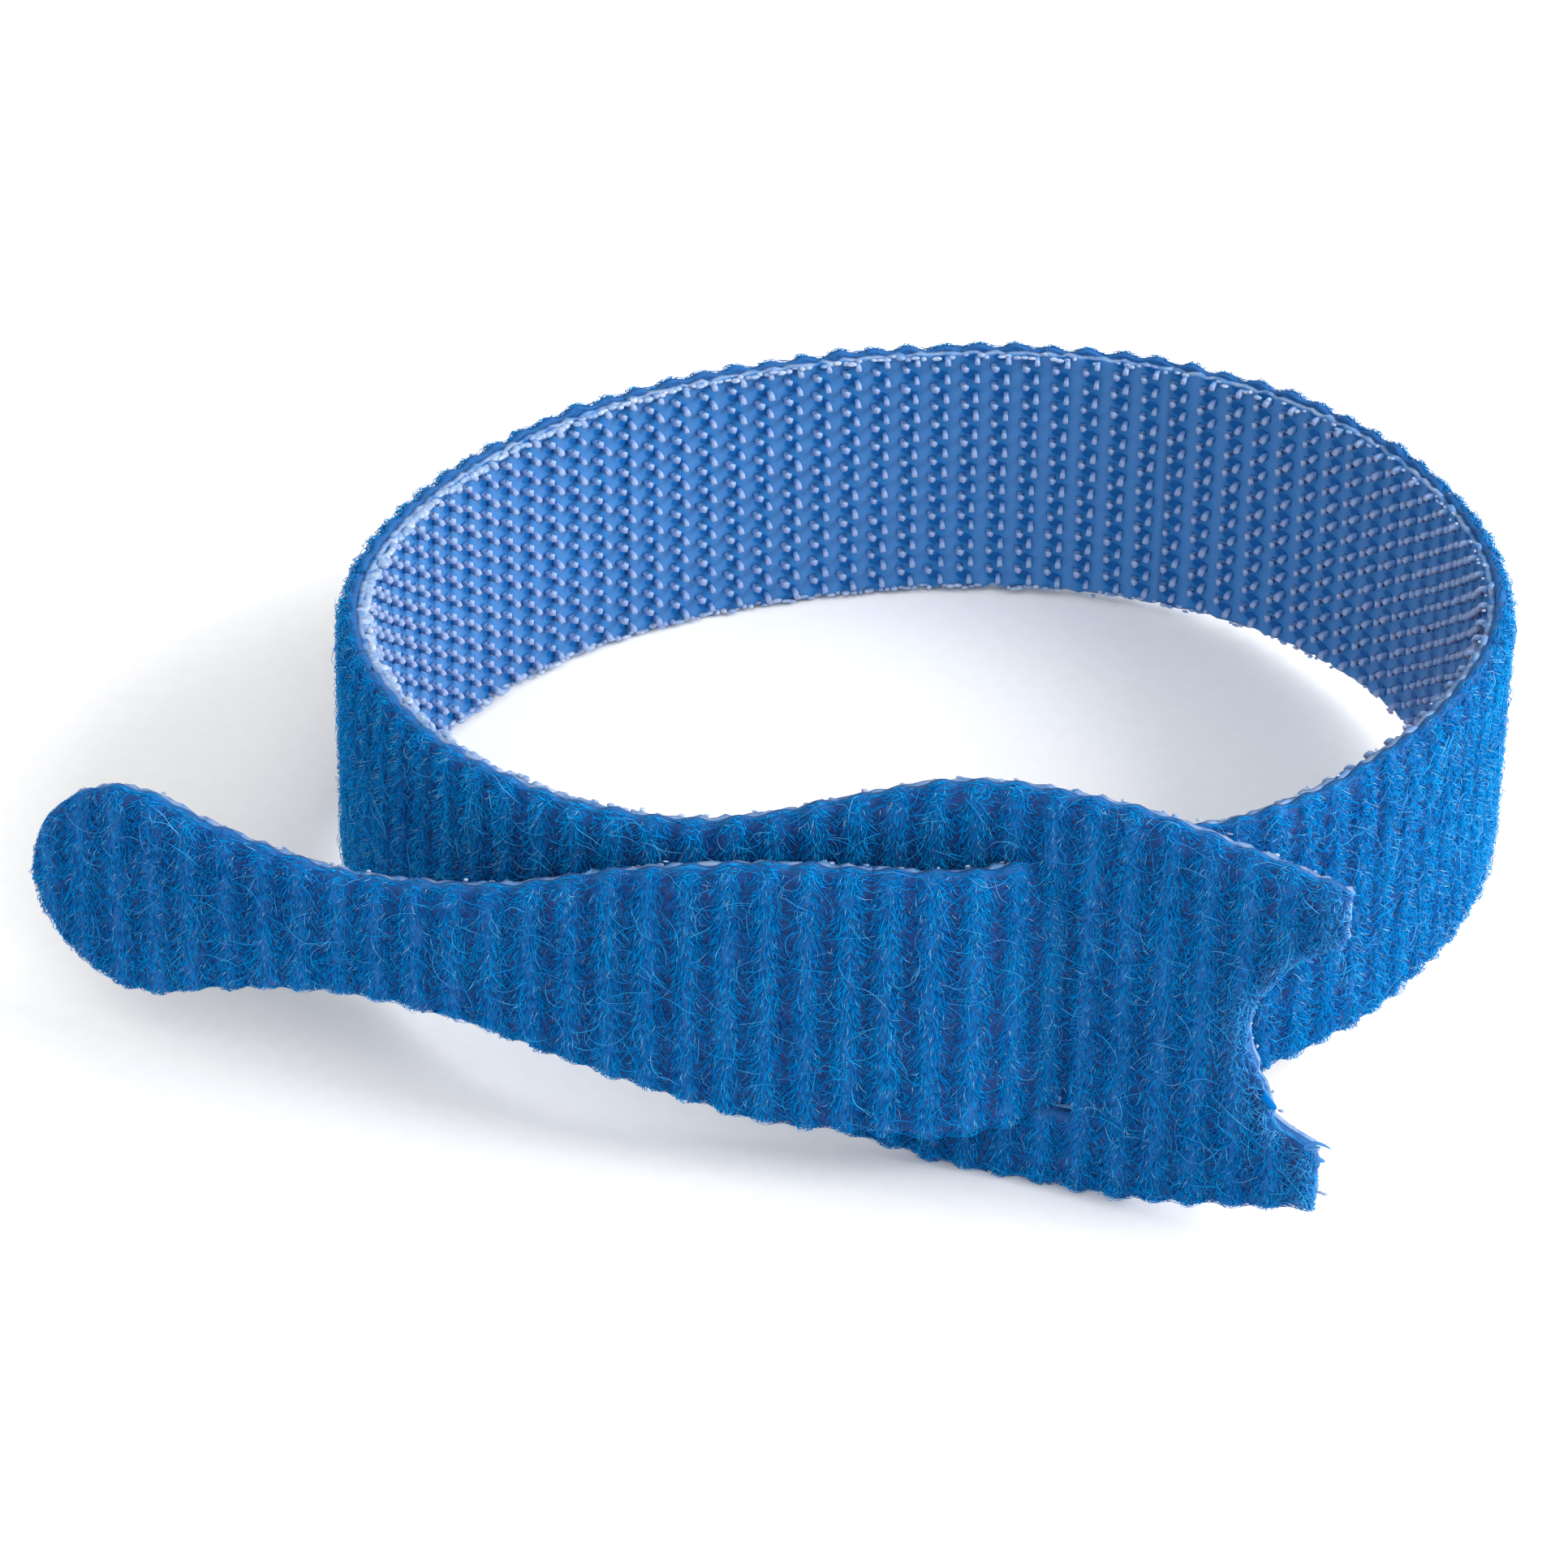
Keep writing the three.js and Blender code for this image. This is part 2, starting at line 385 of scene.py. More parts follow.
def mouldedHookTape():
    material, tree, shader = newMaterial("moulded clear nylon tape", Roughness=0.45)
    shader.inputs["Specular IOR Level"].default_value = 0.15
    shader.inputs["Subsurface Weight"].default_value = 0.2
    shader.inputs["Subsurface Scale"].default_value = 0.3 * mm
    flat = addNode(tree, "Attribute", {"attribute_name": "flat"}, {})
    rim = addNode(tree, "Attribute", {"attribute_name": "rim"}, {})
    split = addNode(tree, "SeparateXYZ", {}, {"Vector": flat.outputs["Vector"]})
    columnTurn = addNode(tree, "Math", {"operation": "MULTIPLY_ADD"}, {
        0: split.outputs["X"],
        1: 2 * math.pi / hooks["pairPitch"],
        2: -2 * math.pi * (hooks["pairStart"] - 0.03) / hooks["pairPitch"],
    })
    column = addNode(tree, "Math", {"operation": "COSINE"}, {0: columnTurn.outputs[0]})
    rowTurn = addNode(tree, "Math", {"operation": "MULTIPLY_ADD"}, {
        0: split.outputs["Y"],
        1: 2 * math.pi / hooks["rowPitch"],
        2: -math.pi / 2,
    })
    row = addNode(tree, "Math", {"operation": "COSINE"}, {0: rowTurn.outputs[0]})
    both = addNode(tree, "Math", {"operation": "ADD"}, {0: column.outputs[0], 1: row.outputs[0]})
    flow = addNode(tree, "TexNoise", {}, {
        "Vector": flat.outputs["Vector"],
        "Scale": 1 / tapeLook["grain"],
        "Detail": 3,
    })
    wandering = addNode(tree, "Math", {"operation": "MULTIPLY_ADD"}, {
        0: flow.outputs[0],
        1: 0.9,
        2: both.outputs[0],
    })
    darkBesideHooks = addNode(tree, "MapRange", {}, {0: wandering.outputs[0], 1: 1.15, 2: 1.7})
    cloud = addNode(tree, "Math", {"operation": "MULTIPLY_ADD"}, {
        0: flow.outputs[0],
        1: 1.6,
        2: column.outputs[0],
    })
    milkiness = addNode(tree, "MapRange", {}, {0: cloud.outputs[0], 1: 1.5, 2: -0.2})
    film = addNode(tree, "Mix", {"data_type": "RGBA"}, {
        0: milkiness.outputs[0],
        6: colour(tapeLook["between"]),
        7: colour(tapeLook["milky"]),
    })
    body = addNode(tree, "Mix", {"data_type": "RGBA"}, {
        0: darkBesideHooks.outputs[0],
        6: film.outputs[2],
        7: colour(tapeLook["darkBesideHooks"]),
    })
    frost = addNode(tree, "Math", {"operation": "MULTIPLY"}, {0: rim.outputs["Fac"], 1: flow.outputs[0]})
    edge = addNode(tree, "MapRange", {}, {0: frost.outputs[0], 1: 0.3, 2: 0.65})
    cut = addNode(tree, "Mix", {"data_type": "RGBA"}, {
        0: edge.outputs[0],
        6: body.outputs[2],
        7: colour(tapeLook["cut"]),
    })
    marks = addNode(tree, "Bump", {}, {
        "Strength": 0.4,
        "Distance": 0.1 * mm,
        "Height": flow.outputs[0],
    })
    tree.links.new(cut.outputs[2], shader.inputs["Base Color"])
    tree.links.new(marks.outputs["Normal"], shader.inputs["Normal"])
    return material


# The hooks themselves: the same nylon, thicker, whitest at the crook and darker down the stem
hookLook = {"stem": "#4279B6", "crook": "#86A0C9"}


def mouldedNylonHooks():
    material, tree, shader = newMaterial("moulded clear nylon hooks", Roughness=0.5)
    shader.inputs["Specular IOR Level"].default_value = 0.15
    shader.inputs["Subsurface Weight"].default_value = 0.5
    shader.inputs["Subsurface Scale"].default_value = 0.3 * mm
    tone = addNode(tree, "Attribute", {"attribute_name": "tone"}, {})
    body = addNode(tree, "Mix", {"data_type": "RGBA"}, {
        0: tone.outputs["Fac"],
        6: colour(hookLook["stem"]),
        7: colour(hookLook["crook"]),
    })
    tree.links.new(body.outputs[2], shader.inputs["Base Color"])
    return material


# Nylon torn by the die: the same clear nylon, frosted grey where it was cut
cutLook = {"shaded": "#5C84B6", "frosted": "#A6B6CE", "lumps": 0.25}  # lumps in mm


def cutNylon():
    material, tree, shader = newMaterial("die-cut clear nylon", Roughness=0.28)
    shader.inputs["Subsurface Weight"].default_value = 0.3
    shader.inputs["Subsurface Scale"].default_value = 0.3 * mm
    tone = addNode(tree, "Attribute", {"attribute_name": "tone"}, {})
    coords = addNode(tree, "TexCoord", {}, {})
    lumps = addNode(tree, "TexNoise", {}, {
        "Vector": coords.outputs["Object"],
        "Scale": 1000 / cutLook["lumps"],
    })
    level = addNode(tree, "Math", {"operation": "MULTIPLY"}, {
        0: tone.outputs["Fac"],
        1: lumps.outputs[0],
    })
    lifted = addNode(tree, "MapRange", {}, {0: level.outputs[0], 1: 0.1, 2: 0.55})
    body = addNode(tree, "Mix", {"data_type": "RGBA"}, {
        0: lifted.outputs[0],
        6: colour(cutLook["shaded"]),
        7: colour(cutLook["frosted"]),
    })
    tree.links.new(body.outputs[2], shader.inputs["Base Color"])
    return material


pileMaterial = brushedNylonPile()
groundMaterial = knittedNylonGround()
tapeMaterial = mouldedHookTape()
hookMaterial = mouldedNylonHooks()
cutMaterial = cutNylon()
print("materials made")


def addPiece(mesh, name, material, smooth=True):
    mesh.materials.append(material)
    if smooth:
        mesh.shade_smooth()
    piece = bpy.data.objects.new(name, mesh)
    bpy.context.scene.collection.objects.link(piece)
    return piece


# Column places for a sheet: even steps, with a column on each edge of the slot and more at the tip
def columnsOf(length, step):
    marks = [length["from"], length["to"]]
    if length["name"] == "head":
        marks[1:1] = [band["flapEnd"], band["slotEnd"]]
    isTab = length["name"] == "pull_tab"
    if isTab:
        marks[1:] = [tabCentre]
    runs = []
    for first, last in zip(marks, marks[1:]):
        count = max(2, round((last - first) / step))
        runs.append(np.linspace(first, last, count + 1)[:-1])
    if isTab:
        around = np.linspace(0, math.pi / 2, round(12 / step))
        runs.append(tabCentre + band["tabRadius"] * np.sin(around))
    else:
        runs.append([length["to"]])
    return np.concatenate(runs)


# Rows of a sheet crowd towards its edges, where it rounds off
def crowded(share):
    return np.sign(share) * (1 - (1 - np.minimum(abs(share), 1)) ** 1.6)


# One layer of one length, as a closed sheet: a grid laid out flat, cut, thickened and bent.
# inner and outer give w; ragged gives how far the side edges wander.
def makeSheet(name, length, step, rows, inner, outer, ragged, material):
    columns = columnsOf(length, step)
    isHead = length["name"] == "head"
    if isHead:
        rows = rows * 2  # fine enough for the torn end
    sheet = bmesh.new()
    bmesh.ops.create_grid(sheet, x_segments=len(columns) - 1, y_segments=rows, size=1)
    evenly = np.linspace(-1, 1, len(columns))
    slotShare = 0.6  # of the rows, between the slot's corners
    if isHead:
        slotStart, slotStop = np.interp([band["flapEnd"], band["slotEnd"]], columns, evenly)
        inSlot = [
            face for face in sheet.faces
            if slotStart < face.calc_center_median().x < slotStop
            and abs(face.calc_center_median().y) < slotShare
        ]
        bmesh.ops.delete(sheet, geom=inSlot, context="FACES")
    grid = np.array([vert.co for vert in sheet.verts])
    u = np.interp(grid[:, 0], evenly, columns)
    across = grid[:, 1]
    if isHead:
        earHalf = 8  # mm from the middle of the band to the tips of the ears
        near = np.interp(abs(across), [0, slotShare, 1], [0, band["slotHalf"], earHalf]) * np.sign(across)
        torn = cutEnd(near) + 0.12 + 0.06 * np.sin(near * 5.7) + 0.05 * np.sin(near * 9.1)
        u = u + torn * np.clip(1 - u / band["flapEnd"], 0, 1)
        far = slotEdge(abs(across) / slotShare)
        pastSlot = far + (u - band["slotEnd"]) * (length["to"] - far) / (length["to"] - band["slotEnd"])
        inSlot = band["flapEnd"] + (u - band["flapEnd"]) * (far - band["flapEnd"]) / slotLength
        u = np.where(u > band["slotEnd"], pastSlot, np.where(u > band["flapEnd"], inSlot, u))
        edge = halfWidth(u) + ragged(u, across)
        besideSlot = crowded((abs(across) - slotShare) / (1 - slotShare))
        strip = band["slotHalf"] + besideSlot * (edge - band["slotHalf"])
        v = np.where(abs(across) > slotShare, strip, abs(near)) * np.sign(across)
    else:
        v = crowded(across) * (halfWidth(u) + ragged(u, across))
    for vert, place in zip(sheet.verts, np.stack([u, v, u * 0], axis=1)):
        vert.co = place
    rim = sheet.verts.layers.float.new("rim")
    rimWidth = 0.3
    joined = [place for place in (length["from"], length["to"]) if 0 < place < band["length"]]
    for vert, along, fromMiddle in zip(sheet.verts, u, abs(v)):
        isCut = vert.is_boundary and all(abs(along - place) > 1e-3 for place in joined)
        vert[rim] = max(float(isCut), 1 - max(halfWidth(along) - fromMiddle, 0) / rimWidth, 0)
    lower = list(sheet.verts)
    raised = bmesh.ops.extrude_face_region(sheet, geom=list(sheet.faces), use_keep_orig=True)
    upper = [item for item in raised["geom"] if isinstance(item, bmesh.types.BMVert)]
    for verts, level in ((lower, inner), (upper, outer)):
        heights = level(np.array([vert.co.x for vert in verts]), np.array([vert.co.y for vert in verts]))
        for vert, height in zip(verts, np.broadcast_to(heights, len(verts))):
            vert.co.z = height
    bmesh.ops.recalc_face_normals(sheet, faces=list(sheet.faces))
    mesh = bpy.data.meshes.new(name)
    sheet.to_mesh(mesh)
    sheet.free()
    flat = np.zeros(len(mesh.vertices) * 3)
    mesh.vertices.foreach_get("co", flat)
    mesh.attributes.new("flat", "FLOAT_VECTOR", "POINT").data.foreach_set("vector", flat)
    mesh.vertices.foreach_set("co", bend(flat).ravel())
    mesh.update()
    return addPiece(mesh, name, material)


# Copies of one small shape, each already in its flat place, joined as one mesh and bent
def makeCopies(name, faces, flat, attributes, material):
    count, corners = flat.shape[:2]
    allFaces = (faces[None] + np.arange(count)[:, None, None] * corners).reshape(-1, faces.shape[1])
    mesh = bpy.data.meshes.new(name)
    mesh.from_pydata(bend(flat), [], allFaces)
    for key, values in attributes.items():
        values = np.broadcast_to(values, (count, corners)).astype(np.float32)
        mesh.attributes.new(key, "FLOAT", "POINT").data.foreach_set("value", values.ravel())
    mesh.update()
    return addPiece(mesh, name, material)


# A tapering strand of unit length and radius, cut into rings at the given heights
def strandShape(heights, sides):
    strand = bmesh.new()
    bmesh.ops.create_cone(strand, cap_ends=True, segments=sides, radius1=1, radius2=0, depth=1)
    bmesh.ops.translate(strand, verts=strand.verts, vec=(0, 0, 0.5))
    for height in heights:
        parts = list(strand.verts) + list(strand.edges) + list(strand.faces)
        bmesh.ops.bisect_plane(strand, geom=parts, plane_co=(0, 0, height), plane_no=(0, 0, 1))
    bmesh.ops.remove_doubles(strand, verts=strand.verts, dist=1e-6)
    bmesh.ops.triangulate(strand, faces=list(strand.faces))
    places = np.array([vert.co for vert in strand.verts])
    strand.verts.index_update()
    faces = np.array([[vert.index for vert in face.verts] for face in strand.faces])
    strand.free()
    around = np.arctan2(places[:, 1], places[:, 0])
    return places[:, 2], around, faces


# Pile: fibres root along each rib, rise, then lie down to both sides of it and downwards
pile = {
    "perArea": 44,  # fibres for each square millimetre
    "perEdge": 26,  # and more for each millimetre of cut edge, where they fold over it
    "length": (0.4, 1.0),
    "thickness": 0.042,
    "rise": (0.2, 0.55),
    "loose": (-0.2, 0.03),  # mm above the general surface of the pile, at most
    "spread": 0.6,  # radians either side of straight down
    "straight": 0.3,  # share of the fibres that lie straight down their rib instead
    "flipped": 0.25,  # share that lie every way, where the pile isn't ruffled
    "flippedByRuffle": 0.45,  # and the share that ruffling adds
    "overTop": 1.1,  # mm from the top edge in which fibres fold over it
    "overEnd": 1.0,
    # Tone: painted shade at the roots and in the valleys, painted light towards the tips and on the crests;
    # own is random.
    "tone": {"root": 0.14, "paintedLightAlongFibre": 0.45, "paintedLightOnCrest": 0.28, "own": 0.13},
    "rings": (0.5,),
}
strays = {
    "perArea": 1.1,
    "length": (1.0, 2.4),
    "thickness": 0.032,
    "rise": (0.35, 0.7),
    "loose": (-0.05, 0.1),
    "rings": (0.12, 0.25, 0.4, 0.55, 0.7, 0.85),
}
# Tiny pale strands on top of the pile: painted glints.
glintFlecks = {
    "perArea": 7,
    "length": (0.06, 0.22),
    "thickness": 0.052,
    "rise": (0.45, 0.7),
    "loose": (-0.03, 0.06),
    "rings": (),
    "wearAndGlintPower": 0,  # painted glint all along
}
layers = {  # all w, in mm
    "filmLip": -0.12,  # how far the cut edge of the film is pushed inwards
    "filmBack": 0.22,
    "groundBack": 0.23,
    "rim": 0.28,  # the pile's surface where it is cut
    "matted": 0.5,  # the lowest that the pile is ever crushed to
    "pile": (1.08, 1.3),  # the pile's surface over the valleys, and on the crests
    "edgeRounding": 0.95,  # over this width the pile rounds off to an edge
    "endRounding": 0.8,
    "groundShare": 0.56,  # the ground, with matted roots, fills this share of the pile's height
}


# The general surface of the pile: it rounds off towards the edges and the cut end
def pileSurface(u, v):
    low, high = layers["pile"]
    matted = layers["matted"]
    crown = matted + (low - matted + (high - low) * brushedCrest(u)) * pileStand(u)
    fromEdge = (scallopedHalf(u) + 0.1 - abs(v)) / layers["edgeRounding"]
    fromEnd = (u - cutEnd(v) + 0.2) / layers["endRounding"]
    inwards = np.clip(np.minimum(fromEdge, fromEnd), 0, 1)
    return layers["rim"] + (crown - layers["rim"]) * np.sqrt(1 - (1 - inwards) ** 2)


# Ground of the loop tape, with the pile's matted roots: it follows the surface of the pile, deeper down
def groundTop(u, v):
    return layers["rim"] + layers["groundShare"] * (pileSurface(u, v) - layers["rim"])


def groundBottom(u, v):
    return layers["groundBack"]


def ribbedEdge(u, across):
    return scallopedHalf(u) - halfWidth(u) - 0.03


# How ruffled the pile is: the outside of the right of the ring has been rubbed the wrong way
def ruffle(u):
    knots = [(0, 0.45), (20, 0.3), (40, 0.35), (60, 0.8), (110, 0.9), (145, 0.9), (165, 0.2), (200, 0.3)]
    return smoothValue(knots, u)


# Where fibres root: all over a length, and more thickly along its side edges and the cut end
def rootPlaces(length, style):
    start = length["from"]
    end = length["to"]
    reach = halfWidth(np.linspace(start, end, 200)).max() + 0.2
    fromCut = 0.15  # mm; nothing roots nearer to the torn end
    count = int(style["perArea"] * 2 * reach * (end - start))
    u = chance.uniform(start, end, count)
    v = chance.uniform(-reach, reach, count)
    kept = inBand(u, v, 0.04)
    alongEdge = chance.uniform(start, end, int(style.get("perEdge", 0) * 2 * (end - start)))
    inwards = abs(chance.normal(0.02, 0.16, len(alongEdge)))
    edgeV = (scallopedHalf(alongEdge) - inwards) * chance.choice((-1, 1), len(alongEdge))
    u = np.concatenate([u[kept], alongEdge])
    v = np.concatenate([v[kept], edgeV])
    if start == 0:
        acrossEnd = chance.uniform(-reach, reach, int(style.get("perEdge", 0) * 2 * reach))
        u = np.concatenate([u, cutEnd(acrossEnd) + fromCut + abs(chance.normal(0, 0.14, len(acrossEnd)))])
        v = np.concatenate([v, acrossEnd])
    kept = (u > cutEnd(v) + fromCut) & (abs(v) < scallopedHalf(u))
    return u[kept], v[kept]


# Pile doesn't reach past the die-cut outline: what would is folded back over the edge
def tuck(u, v, w, loose):
    overhang = 0.05
    u = np.clip(u, cutEnd(v) - overhang, band["length"] + overhang)
    limit = scallopedHalf(u)
    beyond = abs(v) - limit
    v = np.where(beyond > 0, np.sign(v) * (limit + overhang * np.tanh(beyond / 0.3)), v)
    return u, v, np.minimum(w, pileSurface(u, v) + loose)


# Place and heading at the shares t along strands that set off in the direction lay and curl as they go
def strandCurve(t, u, v, root, run, rise, peak, lay, curl):
    path = run * t
    angle = lay + curl * t / 2
    climb = rise * (1 - ((t - peak) / peak) ** 2)
    return u + path * np.sin(angle), v - path * np.cos(angle), root + climb, lay + curl * t


def makeStrands(name, length, style, layOf, curlOf, toneOf, wearAndGlintOf):
    heights, around, faces = strandShape(style["rings"], sides=3)
    u, v = rootPlaces(length, style)
    count = len(u)
    pull = chance.uniform(0.0, 0.6, count) * ribbing(u)
    crestU = (np.floor(u / ribPitch) + 0.5) * ribPitch
    u = u + (crestU - u) * pull  # fibres gather at the crest of their rib
    run = chance.uniform(*style["length"], count)
    lay = layOf(u, v, u - crestU)
    stand = pileStand(u)
    rise = chance.uniform(*style["rise"], count) * stand
    peak = chance.uniform(0.5, 0.95, count)
    root = groundTop(u, v) - 0.08
    curl = curlOf(count)
    column = [value[:, None] for value in (u, v, root, run, rise, peak, lay, curl)]
    cu, cv, cw, facing = strandCurve(heights[None], *column)
    cu, cv, cw = tuck(cu, cv, cw, chance.uniform(*style["loose"], count)[:, None])
    thickness = style["thickness"] * chance.uniform(0.7, 1.25, count)[:, None] / 2
    radius = thickness * np.sqrt(np.clip(1 - heights[None] ** 3, 0, 1))
    side = radius * np.cos(around)[None]
    flat = np.stack([
        cu + side * np.cos(facing),
        cv + side * np.sin(facing),
        cw + radius * np.sin(around)[None],
    ], axis=2)
    tone = toneOf(heights[None], cu, count)
    # The pale colour marks worn ends and painted glints.
    wearAndGlint = wearAndGlintOf(u, v, count)[:, None] * heights[None] ** style.get("wearAndGlintPower", 1)
    return makeCopies(name, faces, flat, {"tone": tone, "wearAndGlint": wearAndGlint}, pileMaterial)


# Down and to both sides of the rib; over the top edge, most fibres stand up and fold over it
def pileLay(u, v, offset):
    side = np.where(offset + chance.normal(0, 0.12, len(u)) > 0, 1, -1)
    spread = np.where(chance.random(len(u)) < pile["straight"], 0.1, pile["spread"])
    down = side * chance.normal(spread, 0.28)
    free = chance.uniform(-math.pi, math.pi, len(u))
    flipped = chance.random(len(u)) < pile["flipped"] + pile["flippedByRuffle"] * ruffle(u)
    lay = np.where(flipped, down + 0.5 * free * ruffle(u), down)
    nearTop = scallopedHalf(u) - v < chance.uniform(0, pile["overTop"], len(u))
    lay = np.where(nearTop, free, lay)
    outwards = -math.pi / 2 + chance.normal(0, 0.8, len(u))
    nearEnd = (u - cutEnd(v) < chance.uniform(0, pile["overEnd"], len(u))) & (u < 8)
    lay = np.where(nearEnd, outwards, lay)
    byCut = inBand(u, v) & ~inBand(u, v, 0.6)
    return np.where((u < 20) & byCut, free, lay)


def pileCurl(count):
    return chance.normal(0, 0.4, count)


# Darker at the root and lighter towards the tip, lighter on the crests than in the valleys: painted shade
# and painted light. The own share is each fibre's random tone.
def pileTone(height, u, count):
    tone = pile["tone"]
    own = chance.normal(0.0, tone["own"], count)[:, None]
    shared = tone["root"] + tone["paintedLightAlongFibre"] * height + tone["paintedLightOnCrest"] * brushedCrest(u)
    return np.clip(shared + own, 0, 1)


# Fibres next to the cut end were pulled and bleached by the die; a few fibres anywhere get the pale colour
# as painted glints
def pileWearAndGlint(u, v, count):
    nearCut = np.exp(-((u - cutEnd(v)) / 0.6).clip(0, 9)) * (u < 8)
    return np.clip(nearCut * chance.uniform(0, 0.8, count) + (chance.random(count) < 0.02) * 0.7, 0, 1)


def strayLay(u, v, offset):
    return chance.uniform(-math.pi, math.pi, len(u))


def strayCurl(count):
    return chance.normal(0, 2.2, count)


# Lighter towards the tip: painted light.
def strayTone(height, u, count):
    return np.clip(0.55 + 0.2 * height + chance.normal(0, 0.15, count)[:, None], 0, 1)


# Stray loops are partly pale: painted glints.
def strayGlint(u, v, count):
    return chance.uniform(0, 0.6, count) ** 2 * 1.3


# The flecks are pale: painted glints.
def fleckGlint(u, v, count):
    return chance.uniform(0.6, 1.0, count)


def makePile(length):
    name = length["name"]
    lying = makeStrands(name + "_pile", length, pile, pileLay, pileCurl, pileTone, pileWearAndGlint)
    loose = makeStrands(name + "_stray_loops", length, strays, strayLay, strayCurl, strayTone, strayGlint)
    # Pale flecks: painted glints.
    short = makeStrands(name + "_glint_flecks", length, glintFlecks, strayLay, pileCurl, strayTone, fleckGlint)
    return lying, loose, short


# Torn shreds that the die left on the cut end, each from its root in flat millimetres
frays = [
    {"at": (3.05, -2.65, 0.75), "length": 0.85, "thickness": 0.34, "lay": -1.15, "curl": 0.5, "wearAndGlint": 0},
    {"at": (1.0, -4.8, 0.9), "length": 1.1, "thickness": 0.17, "lay": 2.8, "curl": 3.2, "wearAndGlint": 0.15},
    {"at": (1.0, -4.75, 0.9), "length": 0.7, "thickness": 0.16, "lay": -2.2, "curl": 0.3, "wearAndGlint": 0.2},
    {"at": (0.8, -5.2, 0.7), "length": 0.6, "thickness": 0.22, "lay": -1.9, "curl": 0.9, "wearAndGlint": 0.15},
    {"at": (0.5, 5.6, 0.7), "length": 0.6, "thickness": 0.17, "lay": -0.5, "curl": 0.5, "wearAndGlint": 0.1},
    {"at": (1.8, 4.6, 0.8), "length": 0.6, "thickness": 0.16, "lay": -0.8, "curl": -0.6, "wearAndGlint": 0.1},
    {"at": (0.35, 6.8, 0.6), "length": 0.4, "thickness": 0.2, "lay": -1.4, "curl": 0.4, "wearAndGlint": 0.25},
]


def makeFrays():
    heights, around, faces = strandShape((0.1, 0.2, 0.3, 0.4, 0.5, 0.6, 0.7, 0.8, 0.9, 0.96), sides=8)
    start = np.array([fray["at"] for fray in frays])
    run, thickness, lay, curl, wearAndGlint = (
        np.array([[fray[key]] for fray in frays]) for key in ("length", "thickness", "lay", "curl", "wearAndGlint")
    )
    u, v, w = (part[:, None] for part in start.T)
    cu, cv, cw, facing = strandCurve(heights[None], u, v, w, run, 0.15, 0.6, lay, curl)
    radius = thickness / 2 * np.sqrt(1 - heights[None] ** 4)
    side = radius * np.cos(around)[None]
    flat = np.stack([
        cu + side * np.cos(facing),
        cv + side * np.sin(facing),
        cw + radius * np.sin(around)[None],
    ], axis=2)
    # The shreds get a low, dark tone on the pile's scale: painted shade.
    return makeCopies("head_frays", faces, flat, {"tone": 0.2, "wearAndGlint": wearAndGlint}, pileMaterial)


# One hook: a square stem that leans into a crook, along u. Its base is at w = 0 and it grows inwards.
def hookShape():
    hook = bmesh.new()
    bmesh.ops.create_grid(hook, x_segments=1, y_segments=1, size=0.5)
    wide = hooks["stemWidth"]
    thick = hooks["stemThickness"]
    bmesh.ops.scale(hook, verts=hook.verts, vec=(wide * 1.5, thick * 1.3, 1))
    top = list(hook.faces)
    stem = hooks["height"] - hooks["crookRadius"]

    def grow(top, move, size):
        made = bmesh.ops.extrude_discrete_faces(hook, faces=top)["faces"]
        verts = made[0].verts
        centre = made[0].calc_center_median()
        bmesh.ops.scale(hook, verts=verts, vec=(size, size, 1), space=Matrix.Translation(-centre))
        bmesh.ops.translate(hook, verts=verts, vec=move)
        return made

    top = grow(top, (0, 0, -stem * 0.5), 0.75)
    top = grow(top, (0, 0, -stem * 0.5), 1.0)
    centre = top[0].calc_center_median()
    turns = 3
    for _ in range(turns):
        made = bmesh.ops.extrude_discrete_faces(hook, faces=top)["faces"]
        pivot = Vector((centre.x + hooks["crookRadius"], centre.y, centre.z))
        bmesh.ops.rotate(
            hook, verts=made[0].verts, cent=pivot,
            matrix=Matrix.Rotation(math.radians(-130 / turns), 3, "Y"),
        )
        middle = made[0].calc_center_median()
        bmesh.ops.scale(hook, verts=made[0].verts, vec=(1.08, 1.16, 1.08), space=Matrix.Translation(-middle))
        top = made
    tip = top[0].calc_center_median()
    bmesh.ops.scale(hook, verts=top[0].verts, vec=(0.5, 0.5, 0.5), space=Matrix.Translation(-tip))
    bmesh.ops.holes_fill(hook, edges=[edge for edge in hook.edges if edge.is_boundary])
    bmesh.ops.triangulate(hook, faces=list(hook.faces))
    bmesh.ops.recalc_face_normals(hook, faces=list(hook.faces))
    hook.verts.index_update()
    places = np.array([vert.co for vert in hook.verts])
    faces = np.array([[vert.index for vert in face.verts] for face in hook.faces])
    hook.free()
    return places, faces


